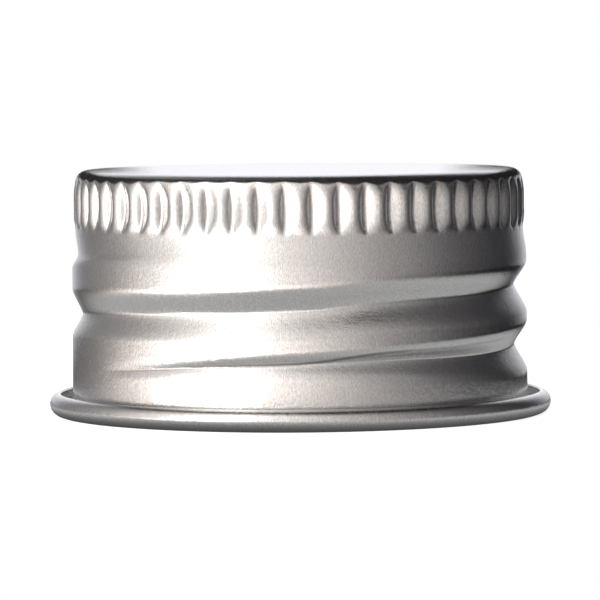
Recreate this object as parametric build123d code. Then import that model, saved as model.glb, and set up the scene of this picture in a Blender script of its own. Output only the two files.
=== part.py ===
from build123d import *
from math import cos, pi, radians, sin, sqrt
import os

# A metal screw cap: one drawn sheet shell with knurled band, rolled thread and rolled hem,
# and a soft sealing liner under its top panel. All sizes are in millimetres and degrees.
# The origin is the middle of the hem's bottom, +Z is up and -Y is the front.

# Sheet and main sizes of the shell
sheet = 0.25
entry_radius = 12.0
cap_height = 13.2
corner_radius = 0.6

# Rolled hem: the sheet turns outward below the skirt, and its edge comes up and back over
hem_radius = 0.6
hem_flat = 0.3
hem_edge_angle = 75.0

# Plain wall above the hem, and how much the wall tapers from there to the shoulder
entry_length = 1.0
wall_taper = 0.03

# Knurled band under the top corner, with V grooves that are steep on one side and gentle on the
# other, and that fade out at both ends
band_length = 2.0
knurl_count = 54
knurl_length = 2.45
knurl_run_out = 0.35
knurl_depth = 0.4
knurl_tip_radius = 0.1
knurl_steep_angle = 52.0
knurl_gentle_angle = 28.0
knurl_first_angle = -86.8

# Shoulder that draws the wall in to a shallow waist under the knurled band
shoulder_length = 1.6
shoulder_draw_in = 0.11
waist_depth = 0.07
waist_length = 0.6

# Rolled thread: one right-hand groove, pressed inward so that it stands inside as a ridge
thread_pitch = 3.175
thread_depth = 0.7
thread_upper_width = 1.1
thread_lower_width = 1.4
thread_start_rise = 0.8
thread_end_drop = 0.75
thread_first_angle = -148.0
thread_lead_in = 140.0
thread_lead_out = 200.0
thread_section_step = 20.0
thread_section_points = 9

# Sealing liner
liner_thickness = 1.0
liner_clearance = 0.05

# How far a pressing tool starts outside the wall, and how far it reaches beyond it
tool_lift = 0.03
tool_reach = 0.8

# Sizes that follow from the ones above
skirt_radius = entry_radius + sheet
entry_top = hem_radius + entry_length
hem_inner_radius = hem_radius - sheet
hem_left = entry_radius + hem_radius
hem_right = hem_left + hem_flat
panel_height = cap_height - sheet
band_radius = skirt_radius - wall_taper - shoulder_draw_in
band_top = cap_height - corner_radius
band_bottom = band_top - band_length
waist_height = band_bottom - waist_length
shoulder_bottom = waist_height - shoulder_length
flat_radius = band_radius - corner_radius
ridge_radius = band_radius - knurl_depth - sheet
thread_start = entry_top + thread_start_rise
thread_end = waist_height - thread_end_drop
thread_sweep = (thread_end - thread_start) / thread_pitch * 360
liner_radius = min(flat_radius, ridge_radius) - liner_clearance


def ease(share):
    """Rises smoothly from 0 to 1 as the share does, and stays level outside."""
    share = min(max(share, 0.0), 1.0)
    return (1 - cos(pi * share)) / 2


def wall_radius(height):
    """Outside radius of the plain wall, before the thread and the knurls are pressed in."""
    risen = min(max((height - entry_top) / (shoulder_bottom - entry_top), 0.0), 1.0)
    drawn = ease((height - shoulder_bottom) / shoulder_length)
    waist = min(drawn, ease((band_bottom - height) / waist_length))
    return skirt_radius - wall_taper * risen - shoulder_draw_in * drawn - waist_depth * waist


def shoulder_curve(inset):
    """The shoulder and the waist from bottom to top, at an inset from the outside of the wall."""
    heights = [shoulder_bottom + shoulder_length * step / 4 for step in range(4)]
    heights += [waist_height + waist_length * step / 3 for step in range(4)]
    return Spline(*[(wall_radius(height) - inset, height) for height in heights])


def round_solid(outline):
    """Turns a closed outline of radii and heights about the cap's axis."""
    return revolve(Plane.XZ * make_face(outline), Axis.Z)


def plain_shell():
    """The drawn cup with its rolled hem, as one sheet of even thickness."""
    shoulder_foot = wall_radius(shoulder_bottom)
    edge = hem_radius - sheet / 2
    edge_middle = (
        hem_right + edge * cos(radians(hem_edge_angle)),
        hem_radius + edge * sin(radians(hem_edge_angle)),
    )
    outside = [
        Line((hem_left, 0), (hem_right, 0)),
        CenterArc((hem_right, hem_radius), hem_radius, -90, 90 + hem_edge_angle),
        CenterArc(edge_middle, sheet / 2, hem_edge_angle, 180),
        CenterArc((hem_right, hem_radius), hem_inner_radius, hem_edge_angle, -90 - hem_edge_angle),
        Line((hem_right, sheet), (hem_left, sheet)),
        CenterArc((hem_left, hem_radius), hem_inner_radius, -90, -90),
        Line((skirt_radius, hem_radius), (skirt_radius, entry_top)),
        Line((skirt_radius, entry_top), (shoulder_foot, shoulder_bottom)),
        shoulder_curve(0),
        Line((band_radius, band_bottom), (band_radius, band_top)),
        CenterArc((flat_radius, band_top), corner_radius, 0, 90),
        Line((flat_radius, cap_height), (0, cap_height)),
    ]
    inside = [
        Line((0, cap_height), (0, panel_height)),
        Line((0, panel_height), (flat_radius, panel_height)),
        CenterArc((flat_radius, band_top), corner_radius - sheet, 90, -90),
        Line((band_radius - sheet, band_top), (band_radius - sheet, band_bottom)),
        shoulder_curve(sheet),
        Line((shoulder_foot - sheet, shoulder_bottom), (entry_radius, entry_top)),
        Line((entry_radius, entry_top), (entry_radius, hem_radius)),
        CenterArc((hem_left, hem_radius), hem_radius, 180, 90),
    ]
    return round_solid(Curve() + outside + inside)


def wall_core():
    """Everything inside the middle of the wall, which trims the ridges to the wall."""
    inset = sheet / 2
    shoulder_foot = wall_radius(shoulder_bottom) - inset
    outline = [
        Line((0, hem_radius), (skirt_radius - inset, hem_radius)),
        Line((skirt_radius - inset, hem_radius), (skirt_radius - inset, entry_top)),
        Line((skirt_radius - inset, entry_top), (shoulder_foot, shoulder_bottom)),
        shoulder_curve(inset),
        Line((band_radius - inset, band_bottom), (band_radius - inset, band_top)),
        Line((band_radius - inset, band_top), (0, band_top)),
        Line((0, band_top), (0, hem_radius)),
    ]
    return round_solid(Curve() + outline)


def thread_section(turned, inset):
    """Section of the groove where it has turned this far, or of the ridge at the sheet's inset."""
    fade = ease(turned / thread_lead_in) * ease((thread_sweep - turned) / thread_lead_out)
    depth = thread_depth * fade
    middle = thread_start + thread_pitch * turned / 360
    angle = radians(thread_first_angle + turned)
    radial = (cos(angle), sin(angle), 0)
    plane = Plane(origin=(0, 0, middle), x_dir=radial, z_dir=(sin(angle), -cos(angle), 0))
    points = []
    for index in range(thread_section_points):
        share = 2 * index / (thread_section_points - 1) - 1
        width = thread_upper_width if share > 0 else thread_lower_width
        rise = share * width
        slope = depth * pi / (2 * width) * sin(pi * share)
        pressed = depth * ease(1 - abs(share)) + inset * sqrt(1 + slope * slope)
        points.append((wall_radius(middle + rise) + tool_lift - pressed, rise))
    back = skirt_radius + tool_reach
    foot = (back, -thread_lower_width)
    head = (back, thread_upper_width)
    outline = [Spline(*points), Line(points[-1], head), Line(head, foot), Line(foot, points[0])]
    return (plane * make_face(Curve() + outline)).face().outer_wire()


def thread_tool(inset):
    """Solid that the thread groove takes out of the wall, or that the ridge is made from."""
    count = round(thread_sweep / thread_section_step)
    turns = [thread_sweep * index / count for index in range(count + 1)]
    return Solid.make_loft([thread_section(turned, inset) for turned in turns])


def knurl_tool(inset):
    """Solid that one knurl groove takes out, or that its ridge is made from at the sheet's inset."""
    tip = knurl_tip_radius + inset
    tip_middle = band_radius - knurl_depth + knurl_tip_radius
    far = band_radius + tool_lift
    flanks = []
    for way, flank in ((-1, radians(knurl_steep_angle)), (1, radians(knurl_gentle_angle))):
        near = (tip_middle - tip * cos(flank), way * tip * sin(flank))
        far_off = near[1] + way * (far - near[0]) * cos(flank) / sin(flank)
        flanks.append((near, (far, far_off)))
    (steep_near, steep_far), (gentle_near, gentle_far) = flanks
    groove = [
        Line(steep_far, steep_near),
        ThreePointArc(steep_near, (tip_middle - tip, 0), gentle_near),
        Line(gentle_near, gentle_far),
        Line(gentle_far, steep_far),
    ]
    run_out = knurl_run_out / (knurl_depth + tool_lift)
    overlap = inset * sqrt(1 + run_out * run_out)
    end_radii = (far, tip_middle - tip)
    fades = [(far - radius) * run_out - overlap for radius in end_radii]
    feet = [(radius, band_top - knurl_length + fade) for radius, fade in zip(end_radii, fades)]
    heads = [(radius, band_top - fade) for radius, fade in zip(end_radii, fades)]
    side = Polyline(feet[0], feet[1], heads[1], heads[0], close=True)
    prism = extrude(make_face(Curve() + groove), cap_height)
    return prism & extrude(Plane.XZ * make_face(side), gentle_far[1], both=True)


def around(tool):
    """Copies of one knurl's tool all around the band."""
    angles = [knurl_first_angle + 360 * index / knurl_count for index in range(knurl_count)]
    return [Rot(0, 0, angle) * tool for angle in angles]


def make_shell():
    """Presses the knurls and then the thread into the plain shell, each ridge before its groove."""
    core = wall_core()
    shell = plain_shell() + around(knurl_tool(sheet) & core)
    shell -= around(knurl_tool(0))
    shell += thread_tool(sheet) & core
    return shell - thread_tool(0)


def make_liner():
    """Round disc that lies flat against the underside of the top panel."""
    liner = Cylinder(liner_radius, liner_thickness)
    return Pos(0, 0, panel_height - liner_thickness / 2) * liner


os.makedirs("parts", exist_ok=True)
export_step(make_shell(), "parts/shell.step")
export_step(make_liner(), "parts/liner.step")
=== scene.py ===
import math

import bpy
from mathutils import Matrix, Vector


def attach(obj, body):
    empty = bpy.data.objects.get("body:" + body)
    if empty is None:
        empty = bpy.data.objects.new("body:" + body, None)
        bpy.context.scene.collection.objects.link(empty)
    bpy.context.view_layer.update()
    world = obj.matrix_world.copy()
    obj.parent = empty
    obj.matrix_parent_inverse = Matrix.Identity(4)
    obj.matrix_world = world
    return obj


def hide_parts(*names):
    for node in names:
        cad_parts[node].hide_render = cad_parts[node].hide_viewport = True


bl_info = {
    "name": "Metal screw cap",
    "version": (1, 0, 0),
    "blender": (4, 5, 0),
    "location": "View3D > Sidebar > Screw Cap",
    "description": "Aluminium screw cap with a knurled band, a rolled thread and a rolled hem",
    "category": "Mesh",
}

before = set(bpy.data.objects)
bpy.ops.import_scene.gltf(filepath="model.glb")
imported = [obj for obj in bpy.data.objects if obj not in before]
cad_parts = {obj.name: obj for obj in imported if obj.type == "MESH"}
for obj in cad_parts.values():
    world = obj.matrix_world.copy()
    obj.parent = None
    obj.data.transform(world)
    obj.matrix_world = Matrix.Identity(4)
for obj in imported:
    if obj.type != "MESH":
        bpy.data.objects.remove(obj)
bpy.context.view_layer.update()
MM = 0.001


def linear(colour):
    """Turns an sRGB hex colour into linear red, green and blue."""
    shares = [int(colour[place : place + 2], 16) / 255 for place in (1, 3, 5)]
    return tuple(c / 12.92 if c <= 0.04045 else ((c + 0.055) / 1.055) ** 2.4 for c in shares)


def length(name, description, millimetres):
    """A size that a user may change."""
    return bpy.props.FloatProperty(
        name=name, description=description, default=millimetres * MM, unit="LENGTH", precision=5
    )


def angle(name, description, degrees):
    """An angle that a user may change."""
    return bpy.props.FloatProperty(
        name=name, description=description, default=math.radians(degrees), subtype="ANGLE"
    )


def share(name, description, default):
    """A plain number that a user may change."""
    return bpy.props.FloatProperty(name=name, description=description, default=default, min=0.0)


def colour(name, description, value):
    """A colour that a user may change, kept as linear numbers."""
    return bpy.props.FloatVectorProperty(
        name=name, description=description, default=linear(value), subtype="COLOR", min=0.0, max=1.0
    )


class ShellSizes(bpy.types.PropertyGroup):
    """The drawn sheet before anything is pressed into it."""

    sheet: length("Sheet", "Thickness of the aluminium sheet", 0.25)
    entry_radius: length("Entry radius", "Inside radius of the plain wall at the mouth", 12.0)
    height: length("Height", "Height of the cap over its hem", 13.13)
    corner_radius: length("Corner radius", "Outside radius of the top corner", 0.65)
    corner_taper: length("Corner taper", "How much the wall narrows up to the corner", 0.08)
    corner_lead: length("Corner lead", "Height over which the wall narrows up to the corner", 0.8)
    hem_radius: length("Hem radius", "Outside radius of the rolled hem", 0.6)
    hem_flat: length("Hem flat", "Flat width that the hem stands on", 0.3)
    hem_edge: angle("Hem edge", "Where the curl of the hem ends, from its outermost point", 75)
    entry_top: length("Entry top", "Height where the wall starts to taper", 1.6)
    taper: length("Taper", "How much narrower the wall gets up to the shoulder", 0.03)
    shoulder_bottom: length("Shoulder bottom", "Height where the wall starts to draw in", 8.4)
    shoulder_draw_in: length("Shoulder draw-in", "How far the shoulder goes in", 0.11)
    waist_height: length("Waist height", "Height of the shallow waist over the shoulder", 10.0)
    waist_depth: length("Waist depth", "How much deeper the waist is than the band", 0.07)
    band_bottom: length("Band bottom", "Height where the straight wall of the band starts", 10.6)


class PressedSizes(bpy.types.PropertyGroup):
    """The knurls and the thread groove that rollers press into the wall."""

    knurl_count: bpy.props.IntProperty(
        name="Knurls", description="Number of knurl grooves around the band", default=54, min=3
    )
    knurl_first: angle("First knurl", "Direction of the first knurl groove", -86.8)
    knurl_depth: length("Knurl depth", "Depth of a knurl groove", 0.36)
    knurl_foot: length("Knurl foot", "Height of the lower end of the grooves", 10.0)
    knurl_head: length("Knurl head", "Height of the upper end of the grooves", 12.72)
    thread_pitch: length("Thread pitch", "Rise of the thread over one turn", 3.175)
    thread_depth: length("Thread depth", "Depth of the thread groove", 0.72)
    thread_upper: length("Upper side", "Width of the thread groove above its deepest line", 1.3)
    thread_lower: length("Lower side", "Width of the thread groove below its deepest line", 1.4)
    thread_start: length("Thread start", "Height of the groove where it starts", 2.4)
    thread_first: angle("Thread angle", "Direction in which the groove starts", -148)
    thread_turns: share("Thread turns", "Number of turns of the groove", 2.15)


class Finishes(bpy.types.PropertyGroup):
    """Colours and finish of the cap's two materials."""

    metal: colour("Metal", "Colour that bare aluminium gives its reflections", "#F5F4F3")
    metal_roughness: share("Metal roughness", "Roughness of the satin sheet", 0.24)
    foam: colour("Foam", "Colour of the liner's foam", "#F2F0EA")


class StageSettings(bpy.types.PropertyGroup):
    """Camera, floor and light."""

    distance: length("Camera distance", "From the camera to the middle of the view", 240)
    lens: share("Lens", "Focal length of the camera in millimetres", 267.1)
    elevation: angle("Elevation", "How far above the horizon the camera stands", 3.3)
    roll: angle("Roll", "Turn of the camera about its line of sight", -0.43)
    aim_right: length("Aim right", "Middle of the view, to the right of the axis", 0.02)
    aim_height: length("Aim height", "Height of the middle of the view", 6.05)
    floor_radius: length("Floor radius", "Radius of the round floor", 70)
    floor: colour("Floor", "Colour of the floor", "#F4F4F4")


def add_node(tree, kind, inputs=None, **settings):
    """Adds one node, sets its settings, and links or sets its inputs. Returns the node."""
    node = tree.nodes.new(kind)
    for name, value in settings.items():
        setattr(node, name, value)
    for name, value in (inputs or {}).items():
        if isinstance(value, bpy.types.NodeSocket):
            tree.links.new(value, node.inputs[name])
        else:
            node.inputs[name].default_value = value
    return node


def new_material(name):
    """An empty material and its output node."""
    material = bpy.data.materials.new(name)
    material.use_nodes = True
    material.node_tree.nodes.clear()
    return material, add_node(material.node_tree, "ShaderNodeOutputMaterial")


def new_object(name, mesh):
    """Puts a mesh into the scene as an object at the origin."""
    made = bpy.data.objects.new(name, mesh)
    bpy.context.collection.objects.link(made)
    return made


def set_stops(ramp, stops):
    """Gives a colour ramp its stops, each a place and a colour of three or four numbers."""
    while len(ramp.elements) > 1:
        ramp.elements.remove(ramp.elements[-1])
    for index, (place, value) in enumerate(stops):
        stop = ramp.elements[0] if index == 0 else ramp.elements.new(place)
        stop.position = place
        stop.color = (*value[:3], 1.0)


# Shell

# Rows of the sheet's outside from the band's top down: where each run of rows ends, and how far apart
# its rows stand, in millimetres. They are close where the knurls end and where the groove starts
OUTER_ROWS = ((11.6, 0.11), (10.8, 0.27), (10.0, 0.09), (4.8, 0.16), (2.8, 0.09), (1.0, 0.2))
# Rows of its inside from the mouth up to the band's top, where None stands for that top
INNER_ROWS = ((10.0, 0.36), (None, 0.4))
INNER_FIRST_ROW = 1.0
# Columns of the sheet beside the middle of each knurl groove, in millimetres
KNURL_COLUMNS = (-0.58, -0.42, -0.30, -0.20, -0.135, -0.095, 0.08, 0.14, 0.42, 0.68)
# How much of the flat top lies inside its one ring of points
TOP_RING = 0.6


def ease(part):
    """Rises smoothly from 0 to 1 as the part does, and stays level outside."""
    part = min(max(part, 0.0), 1.0)
    return (1 - math.cos(math.pi * part)) / 2


def wall_radius(sizes, height):
    """Outside radius of the plain wall at a height."""
    risen = (height - sizes.entry_top) / (sizes.shoulder_bottom - sizes.entry_top)
    drawn = ease((height - sizes.shoulder_bottom) / (sizes.waist_height - sizes.shoulder_bottom))
    over = ease((sizes.band_bottom - height) / (sizes.band_bottom - sizes.waist_height))
    inward = sizes.taper * min(max(risen, 0.0), 1.0) + sizes.shoulder_draw_in * drawn
    return sizes.entry_radius + sizes.sheet - inward - sizes.waist_depth * min(drawn, over)


def corner_taper(sizes, height):
    """How far the wall has narrowed at a height below the top corner."""
    part = 1 - (sizes.height - sizes.corner_radius - height) / sizes.corner_lead
    return sizes.corner_taper * min(max(part, 0.0), 1.0) ** 2


def arc(middle, radius, start, end, steps):
    """Points on an arc of the section, from one angle to another, both ends included."""
    turns = [math.radians(start + (end - start) * step / steps) for step in range(steps + 1)]
    return [(middle[0] + radius * math.cos(t), middle[1] + radius * math.sin(t)) for t in turns]


def spread(start, end, step):
    """Even values from a start towards an end, without the end."""
    count = max(round(abs(end - start) / step), 1)
    return [start + (end - start) * index / count for index in range(count)]


def shell_section(sizes):
    """Section of the plain sheet from the axis over the outside, round the hem and back inside.

    Each point is a radius, a height and how deep in the sheet it lies.
    """
    sheet = sizes.sheet
    band_radius = wall_radius(sizes, sizes.band_bottom)
    band_top = sizes.height - sizes.corner_radius
    flat_radius = band_radius - sizes.corner_taper - sizes.corner_radius
    hem_left = sizes.entry_radius + sizes.hem_radius
    hem_right = hem_left + sizes.hem_flat
    hem = (hem_right, sizes.hem_radius)
    bend = (hem_left, sizes.hem_radius)
    edge = math.degrees(sizes.hem_edge)
    curl = sizes.hem_radius - sheet / 2
    tip = (
        hem_right + curl * math.cos(sizes.hem_edge),
        sizes.hem_radius + curl * math.sin(sizes.hem_edge),
    )
    corner = (flat_radius, band_top)
    foot = sizes.hem_radius
    outer_heights = []
    start = band_top
    for end, step in OUTER_ROWS:
        outer_heights += spread(start, end * MM, step * MM)
        start = end * MM
    outer_heights += [start, foot]
    inner_heights = [foot]
    start = INNER_FIRST_ROW * MM
    for end, step in INNER_ROWS:
        reached = band_top if end is None else end * MM
        inner_heights += spread(start, reached, step * MM)
        start = reached
    inner_heights.append(band_top)
    outside = [(0.0, sizes.height), (flat_radius * TOP_RING, sizes.height)]
    outside += arc(corner, sizes.corner_radius, 90, 0, 8)[:-1]
    outside += [(wall_radius(sizes, z) - corner_taper(sizes, z), z) for z in outer_heights]
    rolled = arc(bend, sizes.hem_radius - sheet, 180, 270, 4)[1:]
    rolled += arc(hem, sizes.hem_radius - sheet, -90, edge, 8)
    rolled += arc(tip, sheet / 2, edge + 180, edge, 5)[1:-1]
    rolled += arc(hem, sizes.hem_radius, edge, -90, 13)
    rolled += arc(bend, sizes.hem_radius, 270, 180, 6)[:-1]
    inside = [(wall_radius(sizes, z) - corner_taper(sizes, z) - sheet, z) for z in inner_heights]
    inside += arc(corner, sizes.corner_radius - sheet, 0, 90, 4)[1:]
    inside += [(flat_radius * TOP_RING, sizes.height - sheet), (0.0, sizes.height - sheet)]
    section = [(radius, height, 0.0) for radius, height in outside]
    section += [(radius, height, sheet / 2) for radius, height in rolled]
    section += [(radius, height, sheet) for radius, height in inside]
    return section


def plain_shell_mesh(sizes, pressed):
    """The plain sheet turned about its axis, with a closed pole at each end of its section.

    Its columns stand close together where a knurl groove turns.
    """
    section = shell_section(sizes)
    pitch = 2 * math.pi / pressed.knurl_count
    band_radius = wall_radius(sizes, sizes.band_bottom)
    places = [step * MM / band_radius for step in KNURL_COLUMNS]
    turns = [
        pressed.knurl_first + pitch * knurl + place
        for knurl in range(pressed.knurl_count)
        for place in places
    ]
    columns = len(turns)
    points = []
    insets = []
    for radius, height, inset in section[1:-1]:
        points += [(radius * math.cos(t), radius * math.sin(t), height) for t in turns]
        insets += [inset] * columns
    top = len(points)
    bottom = top + 1
    points += [(0, 0, section[0][1]), (0, 0, section[-1][1])]
    insets += [section[0][2], section[-1][2]]
    faces = []
    rows = len(section) - 2
    for column in range(columns):
        after = (column + 1) % columns
        faces.append((top, column, after))
        for row in range(rows - 1):
            upper = row * columns
            lower = upper + columns
            faces.append((upper + column, lower + column, lower + after, upper + after))
        last = (rows - 1) * columns
        faces.append((last + column, bottom, last + after))
    mesh = bpy.data.meshes.new("shell")
    mesh.from_pydata(points, [], faces)
    mesh.attributes.new("inset", "FLOAT", "POINT").data.foreach_set("value", insets)
    mesh.update()
    return mesh


# Curves of the thread groove over the degrees that it has turned, from its start to its end.
# How deep it is there, as a share of its full depth
GROOVE_DEPTHS = (
    (0, 0.0), (9, 0.05), (21, 0.14), (32, 0.23), (46, 0.32), (58, 0.4), (70, 0.5), (84, 0.62),
    (99, 0.74), (119, 0.86), (148, 0.98), (210, 0.95), (328, 0.8), (420, 0.93), (508, 1.0),
    (570, 0.98), (630, 0.8), (688, 0.47), (720, 0.22), (745, 0.06), (774, 0.0),
)
# How far it runs above its even rise there, in millimetres
GROOVE_LIFTS = (
    (0, 0.3), (9, 0.4), (21, 0.46), (32, 0.5), (46, 0.52), (58, 0.5), (78, 0.41), (103, 0.19),
    (121, 0.07), (148, 0.0), (300, 0.0), (347, 0.13), (380, 0.06), (418, 0.0), (441, 0.15),
    (463, 0.08), (515, 0.0), (640, 0.0), (688, 0.1), (774, 0.1),
)
# How softly its upper side leaves the wall there
GROOVE_SOFTNESS = ((0, 0.5), (148, 0.5), (300, 0.3), (425, 0.3), (465, 0.6), (774, 0.6))
# How far the line of painted crease shade runs above the groove's deepest line there, in millimetres, and
# how strong that painted shade is
CREASE_SHADE_RISES = (
    (0, 0.0), (50, 0.0), (60, 0.06), (70, 0.26), (84, 0.48), (99, 0.55), (118, 0.68), (774, 0.7),
)
CREASE_SHADE_SHARES = (
    (0, 0.0), (12, 0.5), (30, 0.9), (52, 1.0), (74, 1.0), (88, 0.5), (118, 0.3), (140, 0.0), (774, 0.0),
)
# Distance from that line at which its painted shade has faded out
CREASE_SHADE_REACH = 0.8 * MM
# Section of a knurl groove from one crest to the next, as shares of their distance and of its depth:
# a rounded steep side, a narrow floor and a gentle side
KNURL_SECTION = (
    (0.0, 0.0), (0.04, 0.0), (0.128, 0.04), (0.199, 0.13), (0.27, 0.29), (0.341, 0.54), (0.397, 0.86),
    (0.415, 0.98), (0.435, 1.0), (0.54, 1.0), (0.56, 0.98), (0.625, 0.84), (0.773, 0.5), (0.908, 0.19),
    (0.965, 0.07), (1.0, 0.0),
)
# Where the middle of the groove's floor lies in that section
KNURL_VALLEY = 0.4875
# How deep a knurl groove is from its foot to its head, as shares of its length and depth
KNURL_DEPTHS = (
    (0.0, 0.0), (0.04, 0.15), (0.1, 0.38), (0.18, 0.64), (0.3, 0.88), (0.42, 1.0), (0.58, 1.0),
    (0.68, 0.93), (0.78, 0.76), (0.88, 0.48), (0.95, 0.22), (1.0, 0.0),
)
# How much the edge is rounded where a knurl groove's gentle side is cut off
KNURL_ROUNDING = 0.12
# How many times shorter than a knurl groove the stretch is in which it fades at its ends
KNURL_FADE = 40

# The tree's sizes, and the property that gives each
PRESSING_SIZES = {
    "Knurls": "knurl_count",
    "First knurl": "knurl_first",
    "Knurl depth": "knurl_depth",
    "Knurl foot": "knurl_foot",
    "Knurl head": "knurl_head",
    "Thread pitch": "thread_pitch",
    "Thread depth": "thread_depth",
    "Upper side": "thread_upper",
    "Lower side": "thread_lower",
    "Thread start": "thread_start",
    "Thread angle": "thread_first",
    "Thread turns": "thread_turns",
}

# The steps that press the sheet: the name of each result, what is done, and with what. A name stands
# for one of the tree's sizes or for an earlier result. CURVE follows a curve through points, SMOOTH
# rises smoothly from 0 to 1 as its value does, and the others are steps of arithmetic
PRESSING_STEPS = (
    # How far a point lies across a knurl groove, from one crest to the next, and up it
    ("knurl pitch", "DIVIDE", 2 * math.pi, "Knurls"),
    ("past first knurl", "SUBTRACT", "around", "First knurl"),
    ("knurls past", "DIVIDE", "past first knurl", "knurl pitch"),
    ("from crest", "ADD", "knurls past", KNURL_VALLEY),
    ("across knurl", "WRAP", "from crest", 1, 0),
    ("knurl length", "SUBTRACT", "Knurl head", "Knurl foot"),
    ("over foot", "SUBTRACT", "height", "Knurl foot"),
    ("up knurl", "DIVIDE", "over foot", "knurl length"),
    ("knurl section", "CURVE", "across knurl", KNURL_SECTION),
    ("knurl level", "CURVE", "up knurl", KNURL_DEPTHS),
    # Where a groove is shallower its gentle side is cut off, so that its outline narrows
    ("section and level", "ADD", "knurl section", "knurl level"),
    ("over cut", "SUBTRACT", "section and level", 1),
    ("gentle side", "SMOOTH_MAX", "over cut", 0, KNURL_ROUNDING),
    # Its steep side keeps its place and only gets shallower
    ("on steep side", "LESS_THAN", "across knurl", KNURL_VALLEY),
    ("on gentle side", "SUBTRACT", 1, "on steep side"),
    ("scaled section", "MULTIPLY", "knurl section", "knurl level"),
    ("steep side", "MULTIPLY", "scaled section", "on steep side"),
    ("knurl form", "MULTIPLY_ADD", "gentle side", "on gentle side", "steep side"),
    # Outside its ends the groove leaves the wall as it is
    ("faded foot", "MULTIPLY", "up knurl", KNURL_FADE),
    ("above foot", "SMOOTH", "faded foot"),
    ("down knurl", "SUBTRACT", 1, "up knurl"),
    ("faded head", "MULTIPLY", "down knurl", KNURL_FADE),
    ("below head", "SMOOTH", "faded head"),
    ("on band", "MULTIPLY", "above foot", "below head"),
    ("knurl share", "MULTIPLY", "knurl form", "on band"),
    ("knurl", "MULTIPLY", "knurl share", "Knurl depth"),
    # How far the thread has turned at a point, and how far the point lies above its deepest line
    ("past thread start", "SUBTRACT", "around", "Thread angle"),
    ("turned", "WRAP", "past thread start", 2 * math.pi, 0),
    ("turned share", "DIVIDE", "turned", 2 * math.pi),
    ("even rise", "MULTIPLY", "turned share", "Thread pitch"),
    ("over start", "SUBTRACT", "height", "Thread start"),
    ("over rise", "SUBTRACT", "over start", "even rise"),
    ("half pitch", "MULTIPLY", "Thread pitch", 0.5),
    ("half pitch down", "MULTIPLY", "half pitch", -1),
    ("over nearest", "WRAP", "over rise", "half pitch", "half pitch down"),
    ("line height", "SUBTRACT", "height", "over nearest"),
    ("climbed", "SUBTRACT", "line height", "Thread start"),
    ("turns", "DIVIDE", "climbed", "Thread pitch"),
    ("run", "DIVIDE", "turns", "Thread turns"),
    ("depth share", "CURVE", "run", GROOVE_DEPTHS),
    ("lift in mm", "CURVE", "run", GROOVE_LIFTS),
    ("lift", "MULTIPLY", "lift in mm", MM),
    ("above line", "SUBTRACT", "over nearest", "lift"),
    # The groove starts as a narrow dent and has grown to its full section after 0.43 turns
    ("growth", "MULTIPLY_ADD", "turns", 3.4, -0.45),
    ("grown", "SMOOTH", "growth"),
    ("not grown", "SUBTRACT", 1, "grown"),
    ("upper share", "MULTIPLY_ADD", "grown", 0.45, 0.55),
    ("upper width", "MULTIPLY", "Upper side", "upper share"),
    ("lower share", "MAXIMUM", "depth share", 0.2),
    ("lower share down", "MULTIPLY", "lower share", -1),
    ("lower width", "MULTIPLY", "Lower side", "lower share down"),
    # How near a point is to the deepest line, from 0 at the groove's edge to 1, on each side
    ("upper distance", "DIVIDE", "above line", "upper width"),
    ("upper nearness", "SUBTRACT", 1, "upper distance"),
    ("upper", "MAXIMUM", "upper nearness", 0),
    ("lower distance", "DIVIDE", "above line", "lower width"),
    ("lower nearness", "SUBTRACT", 1, "lower distance"),
    ("lower", "MAXIMUM", "lower nearness", 0),
    # Each side is partly a smooth bend and partly straight
    ("softness", "CURVE", "run", GROOVE_SOFTNESS),
    ("hardness", "SUBTRACT", 1, "softness"),
    ("upper straight", "MULTIPLY", "upper", "hardness"),
    ("upper bend", "SMOOTH", "upper"),
    ("full upper side", "MULTIPLY_ADD", "upper bend", "softness", "upper straight"),
    ("upper squared", "MULTIPLY", "upper", "upper"),
    ("dent", "MULTIPLY", "upper squared", "not grown"),
    ("upper side", "MULTIPLY_ADD", "full upper side", "grown", "dent"),
    ("lower bend", "SMOOTH", "lower"),
    ("lower straight", "MULTIPLY", "lower", 0.7),
    ("lower side", "MULTIPLY_ADD", "lower bend", 0.3, "lower straight"),
    ("groove form", "MINIMUM", "upper side", "lower side"),
    ("groove", "MULTIPLY", "groove form", "Thread depth"),
    ("thread", "MULTIPLY", "groove", "depth share"),
    # The sheet is moved straight inward, both its sides alike
    ("pressed", "ADD", "knurl", "thread"),
    ("outward", "MULTIPLY", "pressed", -1),
    # How far a point lies above the line of painted crease shade, and how strong that painted shade is
    # there
    ("crease rise in mm", "CURVE", "run", CREASE_SHADE_RISES),
    ("crease rise", "MULTIPLY", "crease rise in mm", MM),
    ("above crease", "SUBTRACT", "above line", "crease rise"),
    ("off crease", "ABSOLUTE", "above crease"),
    ("crease distance", "DIVIDE", "off crease", CREASE_SHADE_REACH),
    ("crease nearness", "SUBTRACT", 1, "crease distance"),
    ("near crease", "MAXIMUM", "crease nearness", 0),
    ("crease share", "CURVE", "run", CREASE_SHADE_SHARES),
    ("crease", "MULTIPLY", "crease share", "near crease"),
)


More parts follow.
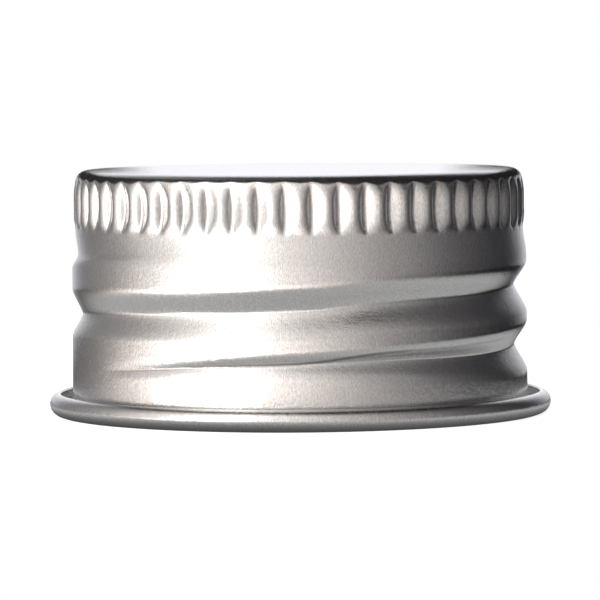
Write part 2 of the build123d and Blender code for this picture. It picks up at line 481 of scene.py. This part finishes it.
def pressing_tree():
    """Geometry nodes that press the knurls and the thread into a sheet turned about Z."""
    tree = bpy.data.node_groups.new("Press knurls and thread", "GeometryNodeTree")
    tree.interface.new_socket("Geometry", in_out="INPUT", socket_type="NodeSocketGeometry")
    for name in PRESSING_SIZES:
        kind = "NodeSocketInt" if name == "Knurls" else "NodeSocketFloat"
        tree.interface.new_socket(name, in_out="INPUT", socket_type=kind)
    tree.interface.new_socket("Material", in_out="INPUT", socket_type="NodeSocketMaterial")
    tree.interface.new_socket("Geometry", in_out="OUTPUT", socket_type="NodeSocketGeometry")
    given = tree.nodes.new("NodeGroupInput").outputs
    place = add_node(tree, "GeometryNodeInputPosition").outputs[0]
    split = add_node(tree, "ShaderNodeSeparateXYZ", {0: place}).outputs
    level = add_node(tree, "ShaderNodeCombineXYZ", {"X": split["X"], "Y": split["Y"]}).outputs[0]
    away = add_node(tree, "ShaderNodeVectorMath", {0: level}, operation="NORMALIZE").outputs[0]
    turn = add_node(tree, "ShaderNodeMath", {0: split["Y"], 1: split["X"]}, operation="ARCTAN2")
    values = {name: given[name] for name in PRESSING_SIZES}
    values.update({"height": split["Z"], "around": turn.outputs[0]})
    for result, step, source, *others in PRESSING_STEPS:
        first = values.get(source, source)
        if step == "CURVE":
            node = add_node(tree, "ShaderNodeFloatCurve", {"Value": first})
            line = node.mapping.curves[0]
            points = [(along / others[0][-1][0], value) for along, value in others[0]]
            line.points[0].location = points[0]
            line.points[1].location = points[-1]
            for point in points[1:-1]:
                line.points.new(*point)
            for point in line.points:
                point.handle_type = "AUTO_CLAMPED"
            node.mapping.update()
        elif step == "SMOOTH":
            node = add_node(tree, "ShaderNodeMapRange", {0: first}, interpolation_type="SMOOTHSTEP")
        else:
            operands = [first] + [values.get(other, other) for other in others]
            node = add_node(tree, "ShaderNodeMath", dict(enumerate(operands)), operation=step)
        values[result] = node.outputs[0]
    offset = {0: away, "Scale": values["outward"]}
    move = add_node(tree, "ShaderNodeVectorMath", offset, operation="SCALE").outputs[0]
    kept = given["Geometry"]
    # The material paints the crease's shade, a darker line in the metal's base colour, from these two
    for name, source in (("above_crease", "above crease"), ("crease", "crease")):
        inputs = {"Geometry": kept, "Name": name, "Value": values[source]}
        kept = add_node(
            tree, "GeometryNodeStoreNamedAttribute", inputs, data_type="FLOAT", domain="POINT"
        ).outputs[0]
    moved = add_node(tree, "GeometryNodeSetPosition", {"Geometry": kept, "Offset": move})
    smoothed = add_node(tree, "GeometryNodeSetShadeSmooth", {"Geometry": moved.outputs[0]})
    real = add_node(tree, "GeometryNodeRealizeInstances", {"Geometry": smoothed.outputs[0]})
    finish = {"Geometry": real.outputs[0], "Material": given["Material"]}
    painted = add_node(tree, "GeometryNodeSetMaterial", finish)
    add_node(tree, "NodeGroupOutput", {0: painted.outputs[0]})
    return tree


def satin_aluminium(finishes):
    """Drawn aluminium sheet with a satin finish."""
    # Aluminium sheet, deep-drawn and left bare: soft bright reflections, broken up by a fine speckled
    # grain that leans upright and by a faint mottle.
    material, output = new_material("satin_aluminium")
    tree = material.node_tree
    place = add_node(tree, "ShaderNodeTexCoord").outputs["Object"]
    # The grain's specks are about 0.06 mm wide and 0.15 mm long, drawn coarser than the real ones
    stretched = add_node(tree, "ShaderNodeMapping", {"Vector": place, "Scale": (15000, 15000, 6500)})
    specks = {"Vector": stretched.outputs[0], "Scale": 1.0, "Detail": 2.0, "Roughness": 0.6}
    grain = add_node(tree, "ShaderNodeTexNoise", specks).outputs["Fac"]
    # The mottle's spots are about 0.3 mm across
    spots = {"Vector": place, "Scale": 3200.0, "Detail": 2.0, "Roughness": 0.55}
    mottle = add_node(tree, "ShaderNodeTexNoise", spots).outputs["Fac"]
    height = add_node(
        tree, "ShaderNodeMath", {0: mottle, 1: 1.2, 2: grain}, operation="MULTIPLY_ADD"
    ).outputs[0]
    # Painted shade: where the roller first bites, the base colour is darkened along a line that stands in
    # for the shade in a sharp crease, and this painted shade fades over 0.13 mm to each side
    over = add_node(tree, "ShaderNodeAttribute", attribute_name="above_crease").outputs["Fac"]
    shade_strength = add_node(tree, "ShaderNodeAttribute", attribute_name="crease").outputs["Fac"]
    off = add_node(tree, "ShaderNodeMath", {0: over}, operation="ABSOLUTE").outputs[0]
    line = add_node(
        tree,
        "ShaderNodeMapRange",
        {"Value": off, "From Max": 0.13 * MM, "To Min": 1.0, "To Max": 0.0},
        interpolation_type="SMOOTHSTEP",
    ).outputs["Result"]
    crease = add_node(tree, "ShaderNodeMath", {0: line, 1: shade_strength}, operation="MULTIPLY").outputs[0]
    bump = add_node(
        tree, "ShaderNodeBump", {"Strength": 1.0, "Distance": 0.008 * MM, "Height": height}
    ).outputs[0]
    rough = finishes.metal_roughness
    roughness = add_node(
        tree, "ShaderNodeMapRange", {"Value": mottle, "To Min": rough * 0.8, "To Max": rough * 1.25}
    ).outputs["Result"]
    # Each speck also throws a little more or less light back than its neighbours
    tone = add_node(
        tree,
        "ShaderNodeMapRange",
        {"Value": grain, "From Min": 0.3, "From Max": 0.7, "To Min": 0.8, "To Max": 1.0},
    ).outputs["Result"]
    # The painted crease shade darkens the base colour to as little as 0.4 of the metal's own
    shade = add_node(
        tree, "ShaderNodeMapRange", {"Value": crease, "To Min": 1.0, "To Max": 0.4}
    ).outputs["Result"]
    shaded = add_node(tree, "ShaderNodeMath", {0: tone, 1: shade}, operation="MULTIPLY").outputs[0]
    metal = {0: tuple(finishes.metal), "Scale": shaded}
    tint = add_node(tree, "ShaderNodeVectorMath", metal, operation="SCALE")
    surface = add_node(
        tree,
        "ShaderNodeBsdfPrincipled",
        {"Base Color": tint.outputs[0], "Metallic": 1.0, "Roughness": roughness, "Normal": bump},
    )
    tree.links.new(surface.outputs[0], output.inputs["Surface"])
    return material


class CAP_OT_shell(bpy.types.Operator):
    """Make the aluminium shell with its knurls, its thread and its hem"""

    bl_idname = "cap.shell"
    bl_label = "Shell"

    def execute(self, context):
        sizes = context.scene.cap_shell
        pressed = context.scene.cap_pressed
        blank = new_object("shell_blank", plain_shell_mesh(sizes, pressed))
        modifier = blank.modifiers.new("Press", "NODES")
        modifier.node_group = pressing_tree()
        values = {name: getattr(pressed, source) for name, source in PRESSING_SIZES.items()}
        values["Material"] = satin_aluminium(context.scene.cap_finishes)
        for item in modifier.node_group.interface.items_tree:
            if item.in_out == "INPUT" and item.name in values:
                modifier[item.identifier] = values[item.name]
        graph = context.evaluated_depsgraph_get()
        mesh = bpy.data.meshes.new_from_object(blank.evaluated_get(graph))
        bpy.data.objects.remove(blank)
        shell = new_object("cap_shell", mesh)
        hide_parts("shell")
        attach(shell, "root")
        return {"FINISHED"}


# Liner


class CAP_OT_liner(bpy.types.Operator):
    """Give the sealing liner its foam"""

    bl_idname = "cap.liner"
    bl_label = "Liner"

    def execute(self, context):
        # Closed-cell polyethylene foam: matt and off-white, with a fine pebbled skin
        material, output = new_material("polyethylene_foam")
        tree = material.node_tree
        place = add_node(tree, "ShaderNodeTexCoord").outputs["Object"]
        # The cells are about 0.25 mm across
        cells = add_node(tree, "ShaderNodeTexVoronoi", {"Vector": place, "Scale": 4000.0})
        skin = {"Strength": 0.4, "Distance": 0.02 * MM, "Height": cells.outputs["Distance"]}
        bump = add_node(tree, "ShaderNodeBump", skin)
        foam = context.scene.cap_finishes.foam
        surface = add_node(
            tree,
            "ShaderNodeBsdfPrincipled",
            {"Base Color": (*foam, 1.0), "Roughness": 0.75, "Normal": bump.outputs[0]},
        )
        tree.links.new(surface.outputs[0], output.inputs["Surface"])
        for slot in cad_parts["liner"].material_slots:
            slot.material = material
        return {"FINISHED"}


# Stage

# Radius of the hole in the floor under the cap, and of the tent
FLOOR_HOLE = 12.5 * MM
TENT_RADIUS = 600 * MM
# How strong the tent's light is
TENT_STRENGTH = 1.9
# What the floor glows for the camera alone, so that it shows white
FLOOR_GLOW = 0.85
# The card over the cap's front edge: its inner edge, its outer edge under the key light and beside
# it, its height, how far the outer edge bends down beside the key light, and its colour
CARD_INNER = 12.3 * MM
CARD_NARROW = 14.7 * MM
CARD_WIDE = 17.3 * MM
CARD_HEIGHT = 15.2 * MM
CARD_DROP = 1.5 * MM
CARD_COLOUR = "#302F35"
# How far the card reaches to each side of the front, in degrees, and its number of faces
CARD_HALF = 140
CARD_FACES = 96
# Bearing of the middle of the card's narrow part, and how far that part and the change beside it reach
CARD_KEY = -24
CARD_KEY_HALF = 22
CARD_KEY_FADE = 24


def disc_mesh(name, inner, outer, count):
    """A flat ring on the ground that faces up."""
    turns = [2 * math.pi * index / count for index in range(count)]
    points = [(r * math.cos(t), r * math.sin(t), 0) for r in (inner, outer) for t in turns]
    faces = []
    for index in range(count):
        after = (index + 1) % count
        faces.append((index, count + index, count + after, after))
    mesh = bpy.data.meshes.new(name)
    mesh.from_pydata(points, [], faces)
    return mesh


def dome_mesh(name, radius, rows, columns):
    """A whole round tent about the origin that faces inward."""
    points = [(0, 0, radius), (0, 0, -radius)]
    for row in range(1, rows):
        fall = math.pi * row / rows
        for column in range(columns):
            turn = 2 * math.pi * column / columns
            across = radius * math.sin(fall)
            points.append((across * math.cos(turn), across * math.sin(turn), radius * math.cos(fall)))
    faces = []
    for column in range(columns):
        after = (column + 1) % columns
        faces.append((0, 2 + after, 2 + column))
        for row in range(rows - 2):
            upper = 2 + row * columns
            lower = upper + columns
            faces.append((upper + column, upper + after, lower + after, lower + column))
        last = 2 + (rows - 2) * columns
        faces.append((1, last + column, last + after))
    mesh = bpy.data.meshes.new(name)
    mesh.from_pydata(points, [], faces)
    return mesh


# Panels of the studio tent: the bearing of each panel's middle in degrees from the front to the right,
# how far its light reaches to each side, how strong it is, and its colour
PANELS = (
    (-41, 31, 0.62, "#FFFCF9"),
    (-81, 48, 0.31, "#FFF8F3"),
    (-25, 77, 0.575, "#FFF8F3"),
    (43, 41, 0.085, "#FFF8F3"),
    (50, 79, 0.062, "#FFFCF9"),
    (-127, 29, 0.113, "#FFFCF9"),
    (180, 46, 0.61, "#F9F9FF"),
)
# Dark cloth between the panels
TENT_CLOTH = "#232225"
# How that light falls off with height, in degrees over the horizon
HEIGHT_FALL = (
    (-90, 0.6), (-30, 0.9), (0, 1.0), (25, 1.0), (48, 0.95), (60, 0.65), (68, 0.25), (76, 0.07),
    (90, 0.05),
)


def bearing_light(tree, place):
    """Light of all the panels in the direction of a place, seen from above."""
    split = add_node(tree, "ShaderNodeSeparateXYZ", {0: place}).outputs
    front = add_node(tree, "ShaderNodeMath", {0: split["Y"], 1: -1}, operation="MULTIPLY").outputs[0]
    around = add_node(tree, "ShaderNodeMath", {0: split["X"], 1: front}, operation="ARCTAN2").outputs[0]
    light = linear(TENT_CLOTH)
    for middle, reach, strength, tint in PANELS:
        past = add_node(tree, "ShaderNodeMath", {0: around, 1: math.radians(middle)}, operation="SUBTRACT")
        turn = {0: past.outputs[0], 1: math.pi, 2: -math.pi}
        near = add_node(tree, "ShaderNodeMath", turn, operation="WRAP").outputs[0]
        off = add_node(tree, "ShaderNodeMath", {0: near}, operation="ABSOLUTE").outputs[0]
        fall = {"Value": off, "From Max": math.radians(reach), "To Min": strength, "To Max": 0.0}
        level = add_node(tree, "ShaderNodeMapRange", fall, interpolation_type="SMOOTHSTEP")
        added = {0: linear(tint), 1: level.outputs["Result"], 2: light}
        light = add_node(tree, "ShaderNodeVectorMath", added, operation="MULTIPLY_ADD").outputs[0]
    return light


def tent_material():
    """Light from a round studio tent: soft panels on the left and behind, dark cloth elsewhere."""
    material, output = new_material("studio_tent")
    tree = material.node_tree
    place = add_node(tree, "ShaderNodeTexCoord").outputs["Object"]
    ray = add_node(tree, "ShaderNodeVectorMath", {0: place}, operation="NORMALIZE").outputs[0]
    upward = add_node(tree, "ShaderNodeSeparateXYZ", {0: ray}).outputs["Z"]
    lift = add_node(tree, "ShaderNodeMath", {0: upward}, operation="ARCSINE").outputs[0]
    rise = add_node(
        tree, "ShaderNodeMapRange", {"Value": lift, "From Min": -math.pi / 2, "From Max": math.pi / 2}
    ).outputs["Result"]
    heights = add_node(tree, "ShaderNodeValToRGB", {"Fac": rise})
    set_stops(heights.color_ramp, [((turn + 90) / 180, (value,) * 3) for turn, value in HEIGHT_FALL])
    strength = {0: heights.outputs[0], 1: TENT_STRENGTH}
    level = add_node(tree, "ShaderNodeMath", strength, operation="MULTIPLY")
    light = add_node(
        tree, "ShaderNodeEmission", {"Color": bearing_light(tree, place), "Strength": level.outputs[0]}
    )
    tree.links.new(light.outputs[0], output.inputs["Surface"])
    return material


def floor_material(value):
    """White board: white to the camera, and to the metal a glowing painted reflection of the surroundings,
    with painted shade close to the cap.
    """
    material, output = new_material("white_board_painted_reflection")
    tree = material.node_tree
    place = add_node(tree, "ShaderNodeTexCoord").outputs["Object"]
    seen = add_node(tree, "ShaderNodeLightPath").outputs
    paper = add_node(tree, "ShaderNodeBsdfDiffuse", {"Color": (*value, 1.0)})
    # To the camera the board keeps the cap's soft shadow on a white ground
    glow = add_node(tree, "ShaderNodeEmission", {"Strength": FLOOR_GLOW})
    ground = add_node(tree, "ShaderNodeAddShader", {0: paper.outputs[0], 1: glow.outputs[0]})
    shown = {0: seen["Is Camera Ray"], 1: paper.outputs[0], 2: ground.outputs[0]}
    lit = add_node(tree, "ShaderNodeMixShader", shown)
    # To glossy and transmission rays the board glows with painted light instead: painted shade, dark under
    # the hem and grey close to the cap, and further out a painted reflection of the surroundings, with
    # more contrast than they have
    far = add_node(tree, "ShaderNodeVectorMath", {0: place}, operation="LENGTH").outputs["Value"]
    # Painted shade: close to the cap the painted reflection is dark, 0.08, under the hem and grey, 0.42, a
    # little further out
    near = add_node(
        tree,
        "ShaderNodeMapRange",
        {"Value": far, "From Min": 13.2 * MM, "From Max": 14.8 * MM, "To Min": 0.08, "To Max": 0.42},
    ).outputs["Result"]
    # Painted reflection: further out the panels' light is copied in, made harder and brighter than it is
    harder = {"Color": bearing_light(tree, place), "Gamma": 1.8}
    painted_reflection_inputs = {0: add_node(tree, "ShaderNodeGamma", harder).outputs[0], "Scale": 5.6}
    bright = add_node(tree, "ShaderNodeVectorMath", painted_reflection_inputs, operation="SCALE").outputs[0]
    out = add_node(
        tree,
        "ShaderNodeMapRange",
        {"Value": far, "From Min": 18.5 * MM, "From Max": 30 * MM},
        interpolation_type="SMOOTHSTEP",
    ).outputs["Result"]
    painted_reflection_colour = add_node(tree, "ShaderNodeMix", {0: out, 6: near, 7: bright}, data_type="RGBA").outputs[2]
    painted_reflection_light = add_node(tree, "ShaderNodeEmission", {"Color": painted_reflection_colour})
    rays = {0: seen["Is Glossy Ray"], 1: seen["Is Transmission Ray"]}
    glossy = add_node(tree, "ShaderNodeMath", rays, operation="MAXIMUM").outputs[0]
    above = add_node(tree, "ShaderNodeMixShader", {0: glossy, 1: lit.outputs[0], 2: painted_reflection_light.outputs[0]})
    # From below the board is clear, so that the cap's mouth can be looked into
    below = add_node(tree, "ShaderNodeNewGeometry").outputs["Backfacing"]
    clear = add_node(tree, "ShaderNodeBsdfTransparent")
    surface = add_node(tree, "ShaderNodeMixShader", {0: below, 1: above.outputs[0], 2: clear.outputs[0]})
    tree.links.new(surface.outputs[0], output.inputs["Surface"])
    return material


def card_mesh(name):
    """Part of a ring that arches round the front, wide and bent down beside the key light."""
    points = []
    for outer in (False, True):
        for index in range(CARD_FACES + 1):
            bearing = CARD_HALF * (2 * index / CARD_FACES - 1)
            beside = (abs(bearing - CARD_KEY) - CARD_KEY_HALF) / CARD_KEY_FADE
            beside = min(max(beside, 0), 1)
            reach = CARD_NARROW + (CARD_WIDE - CARD_NARROW) * beside * beside * (3 - 2 * beside)
            radius = reach if outer else CARD_INNER
            turn = math.radians(bearing - 90)
            height = CARD_HEIGHT - CARD_DROP * beside * outer
            points.append((radius * math.cos(turn), radius * math.sin(turn), height))
    faces = []
    for index in range(CARD_FACES):
        after = CARD_FACES + 1 + index
        faces.append((index, index + 1, after + 1, after))
    mesh = bpy.data.meshes.new(name)
    mesh.from_pydata(points, [], faces)
    return mesh


class CAP_OT_stage(bpy.types.Operator):
    """Set up the camera, the floor and the light"""

    bl_idname = "cap.stage"
    bl_label = "Stage"

    def execute(self, context):
        scene = context.scene
        settings = scene.cap_stage
        # The floor is open under the cap, so that light also reaches its inside from below
        floor = new_object("floor", disc_mesh("floor", FLOOR_HOLE, settings.floor_radius, 256))
        floor.data.materials.append(floor_material(settings.floor))
        tent = new_object("tent", dome_mesh("tent", TENT_RADIUS, 24, 48))
        tent.data.materials.append(tent_material())
        tent.visible_camera = False
        # A black card arched over the cap's front edge, which only the metal mirrors: it draws the dark
        # line along the top corner
        card = new_object("card", card_mesh("card"))
        black, output = new_material("black_card")
        paper = {"Color": (*linear(CARD_COLOUR), 1.0)}
        board = add_node(black.node_tree, "ShaderNodeBsdfDiffuse", paper)
        black.node_tree.links.new(board.outputs[0], output.inputs["Surface"])
        card.data.materials.append(black)
        card.visible_camera = False
        card.visible_diffuse = False
        card.visible_shadow = False
        aim = Vector((settings.aim_right, 0, settings.aim_height))
        back = Vector((0, -math.cos(settings.elevation), math.sin(settings.elevation)))
        camera = bpy.data.objects.new("camera", bpy.data.cameras.new("camera"))
        context.collection.objects.link(camera)
        turn = back.to_track_quat("Z", "Y").to_matrix().to_4x4() @ Matrix.Rotation(settings.roll, 4, "Z")
        camera.matrix_world = Matrix.Translation(aim + back * settings.distance) @ turn
        camera.data.lens = settings.lens
        camera.data.clip_start = 0.01
        camera.data.clip_end = 5
        scene.camera = camera
        scene.view_settings.view_transform = "Standard"
        world = bpy.data.worlds.new("white_backdrop")
        world.use_nodes = True
        world.node_tree.nodes["Background"].inputs["Color"].default_value = (1, 1, 1, 1)
        world.node_tree.nodes["Background"].inputs["Strength"].default_value = 1.0
        scene.world = world
        return {"FINISHED"}


class CAP_PT_panel(bpy.types.Panel):
    """Lists the cap's pieces and sizes"""

    bl_idname = "CAP_PT_panel"
    bl_label = "Screw Cap"
    bl_space_type = "VIEW_3D"
    bl_region_type = "UI"
    bl_category = "Screw Cap"

    def draw(self, context):
        layout = self.layout
        for operator in (CAP_OT_shell, CAP_OT_liner, CAP_OT_stage):
            layout.operator(operator.bl_idname)
        for name, group in GROUPS.items():
            box = layout.box()
            for size in group.__annotations__:
                box.prop(getattr(context.scene, name), size)


GROUPS = {
    "cap_shell": ShellSizes,
    "cap_pressed": PressedSizes,
    "cap_finishes": Finishes,
    "cap_stage": StageSettings,
}
CLASSES = (*GROUPS.values(), CAP_OT_shell, CAP_OT_liner, CAP_OT_stage, CAP_PT_panel)


def register():
    for made in CLASSES:
        bpy.utils.register_class(made)
    for name, group in GROUPS.items():
        setattr(bpy.types.Scene, name, bpy.props.PointerProperty(type=group))


def unregister():
    for name in GROUPS:
        delattr(bpy.types.Scene, name)
    for made in reversed(CLASSES):
        bpy.utils.unregister_class(made)


def main():
    register()
    bpy.ops.cap.shell()
    bpy.ops.cap.liner()
    bpy.ops.cap.stage()


if __name__ == "__main__":
    main()
